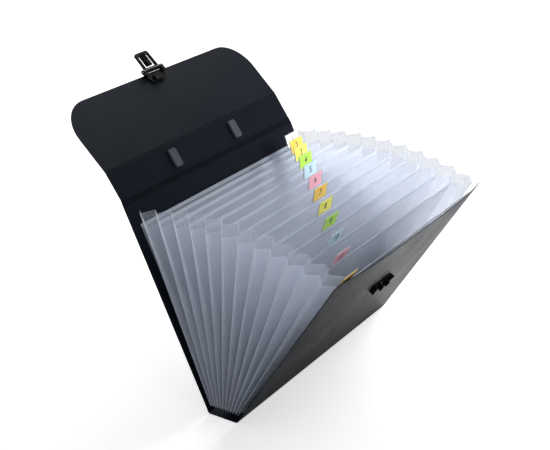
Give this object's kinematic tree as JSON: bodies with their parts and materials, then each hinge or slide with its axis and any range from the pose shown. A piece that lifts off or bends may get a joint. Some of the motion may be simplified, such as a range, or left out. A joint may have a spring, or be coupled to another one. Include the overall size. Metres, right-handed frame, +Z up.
{
  "type": "expanding document case",
  "caption": "Expanding document case with creased plastic covers, film pockets fanned open, index tabs, flap clasp and folding handle.",
  "frame": {"origin": "middle of the spine underside, on the surface the case stands on", "axes": "+X along the spine, +Y towards the back cover and flap, +Z up"},
  "size_m": [0.33, 0.3752, 0.3373],
  "materials": {
    "cover_sheet": "satin embossed polypropylene",
    "black_moulding": "semi-gloss moulded plastic",
    "grey_moulding": "satin moulded plastic",
    "frosted_film": "frosted translucent film",
    "clear_sleeve": "clear glossy film",
    "pin_steel": "drawn steel wire",
    "label_white": "uncoated card stock",
    "label_amber": "uncoated card stock",
    "label_yellow": "uncoated card stock",
    "label_green": "uncoated card stock",
    "label_blue": "uncoated card stock",
    "label_pink": "uncoated card stock"
  },
  "bodies": {
    "base": {"spine": "cover_sheet", "pocket_base": "frosted_film", "gusset_left": "frosted_film", "gusset_right": "frosted_film"},
    "front_cover": {"front_cover": "cover_sheet", "front_liner": "frosted_film", "tab_sleeve_12": "clear_sleeve", "tab_label_12": "label_amber", "keeper": "black_moulding"},
    "back_cover": {"back_cover": "cover_sheet", "back_liner": "frosted_film"},
    "top_strip": {"top_strip": "cover_sheet", "handle_bracket_left": "black_moulding", "handle_bracket_right": "black_moulding", "handle_cap_left": "grey_moulding", "handle_cap_right": "grey_moulding"},
    "handle": {"carrying_handle": "black_moulding"},
    "flap": {"flap": "cover_sheet", "clasp_base": "black_moulding", "clasp_backing_plate": "black_moulding", "clasp_pin": "pin_steel"},
    "clasp_lever": {"clasp_lever": "black_moulding"},
    "divider_1": {"divider_1": "frosted_film", "tab_sleeve_1": "clear_sleeve", "tab_label_1": "label_white"},
    "divider_2": {"divider_2": "frosted_film", "tab_sleeve_2": "clear_sleeve", "tab_label_2": "label_amber"},
    "divider_3": {"divider_3": "frosted_film", "tab_sleeve_3": "clear_sleeve", "tab_label_3": "label_yellow"},
    "divider_4": {"divider_4": "frosted_film", "tab_sleeve_4": "clear_sleeve", "tab_label_4": "label_green"},
    "divider_5": {"divider_5": "frosted_film", "tab_sleeve_5": "clear_sleeve", "tab_label_5": "label_blue"},
    "divider_6": {"divider_6": "frosted_film", "tab_sleeve_6": "clear_sleeve", "tab_label_6": "label_pink"},
    "divider_7": {"divider_7": "frosted_film", "tab_sleeve_7": "clear_sleeve", "tab_label_7": "label_amber"},
    "divider_8": {"divider_8": "frosted_film", "tab_sleeve_8": "clear_sleeve", "tab_label_8": "label_yellow"},
    "divider_9": {"divider_9": "frosted_film", "tab_sleeve_9": "clear_sleeve", "tab_label_9": "label_green"},
    "divider_10": {"divider_10": "frosted_film", "tab_sleeve_10": "clear_sleeve", "tab_label_10": "label_blue"},
    "divider_11": {"divider_11": "frosted_film", "tab_sleeve_11": "clear_sleeve", "tab_label_11": "label_pink"}
  },
  "joints": [
    {"name": "back_cover_fold", "type": "hinge", "parent": "base", "child": "back_cover", "pos_m": [0, 0.0189, 0.00215], "axis": [1, 0, 0], "range_deg": [0, 26.3], "deforming": ["gusset_left", "gusset_right"]},
    {"name": "front_cover_fold", "type": "hinge", "parent": "base", "child": "front_cover", "pos_m": [0, -0.01903, 0.00194], "axis": [1, 0, 0], "range_deg": [-33.37, 0]},
    {"name": "divider_1_swing", "type": "hinge", "parent": "base", "child": "divider_1", "pos_m": [0, 0.01417, 0.0044], "axis": [1, 0, 0], "range_deg": [0, 21.38]},
    {"name": "divider_2_swing", "type": "hinge", "parent": "base", "child": "divider_2", "pos_m": [0, 0.01133, 0.0044], "axis": [1, 0, 0], "range_deg": [0, 16.4]},
    {"name": "divider_3_swing", "type": "hinge", "parent": "base", "child": "divider_3", "pos_m": [0, 0.0085, 0.0044], "axis": [1, 0, 0], "range_deg": [0, 11.42]},
    {"name": "divider_4_swing", "type": "hinge", "parent": "base", "child": "divider_4", "pos_m": [0, 0.00567, 0.0044], "axis": [1, 0, 0], "range_deg": [0, 6.45]},
    {"name": "divider_5_swing", "type": "hinge", "parent": "base", "child": "divider_5", "pos_m": [0, 0.00283, 0.0044], "axis": [1, 0, 0], "range_deg": [0, 1.47]},
    {"name": "divider_6_swing", "type": "hinge", "parent": "base", "child": "divider_6", "pos_m": [0, 0, 0.0044], "axis": [1, 0, 0], "range_deg": [-3.51, 0]},
    {"name": "divider_7_swing", "type": "hinge", "parent": "base", "child": "divider_7", "pos_m": [0, -0.00283, 0.0044], "axis": [1, 0, 0], "range_deg": [-8.48, 0]},
    {"name": "divider_8_swing", "type": "hinge", "parent": "base", "child": "divider_8", "pos_m": [0, -0.00567, 0.0044], "axis": [1, 0, 0], "range_deg": [-13.46, 0]},
    {"name": "divider_9_swing", "type": "hinge", "parent": "base", "child": "divider_9", "pos_m": [0, -0.0085, 0.0044], "axis": [1, 0, 0], "range_deg": [-18.44, 0]},
    {"name": "divider_10_swing", "type": "hinge", "parent": "base", "child": "divider_10", "pos_m": [0, -0.01133, 0.0044], "axis": [1, 0, 0], "range_deg": [-23.41, 0]},
    {"name": "divider_11_swing", "type": "hinge", "parent": "base", "child": "divider_11", "pos_m": [0, -0.01417, 0.0044], "axis": [1, 0, 0], "range_deg": [-28.39, 0]},
    {"name": "top_strip_fold", "type": "hinge", "parent": "back_cover", "child": "top_strip", "pos_m": [0, 0.12329, 0.22601], "axis": [1, 0, 0], "range_deg": [-60, 98.5]},
    {"name": "flap_fold", "type": "hinge", "parent": "top_strip", "child": "flap", "pos_m": [0, 0.14497, 0.25722], "axis": [1, 0, 0], "range_deg": [-60, 99.7]},
    {"name": "handle_swing", "type": "hinge", "parent": "top_strip", "child": "handle", "pos_m": [0, 0.1407, 0.23827], "axis": [-1, 0, 0], "range_deg": [-110, 26]},
    {"name": "clasp_lever_swing", "type": "hinge", "parent": "flap", "child": "clasp_lever", "pos_m": [0, 0.20772, 0.31966], "axis": [1, 0, 0], "range_deg": [-100, 0]}
  ],
  "couplings": [
    {"joint": "front_cover_fold", "follows": "back_cover_fold", "ratio": -1.2662},
    {"joint": "divider_1_swing", "follows": "back_cover_fold", "ratio": 0.81115},
    {"joint": "divider_2_swing", "follows": "back_cover_fold", "ratio": 0.62231},
    {"joint": "divider_3_swing", "follows": "back_cover_fold", "ratio": 0.43346},
    {"joint": "divider_4_swing", "follows": "back_cover_fold", "ratio": 0.24461},
    {"joint": "divider_5_swing", "follows": "back_cover_fold", "ratio": 0.055767},
    {"joint": "divider_6_swing", "follows": "back_cover_fold", "ratio": -0.13308},
    {"joint": "divider_7_swing", "follows": "back_cover_fold", "ratio": -0.32193},
    {"joint": "divider_8_swing", "follows": "back_cover_fold", "ratio": -0.51077},
    {"joint": "divider_9_swing", "follows": "back_cover_fold", "ratio": -0.69962},
    {"joint": "divider_10_swing", "follows": "back_cover_fold", "ratio": -0.88847},
    {"joint": "divider_11_swing", "follows": "back_cover_fold", "ratio": -1.0773}
  ]
}
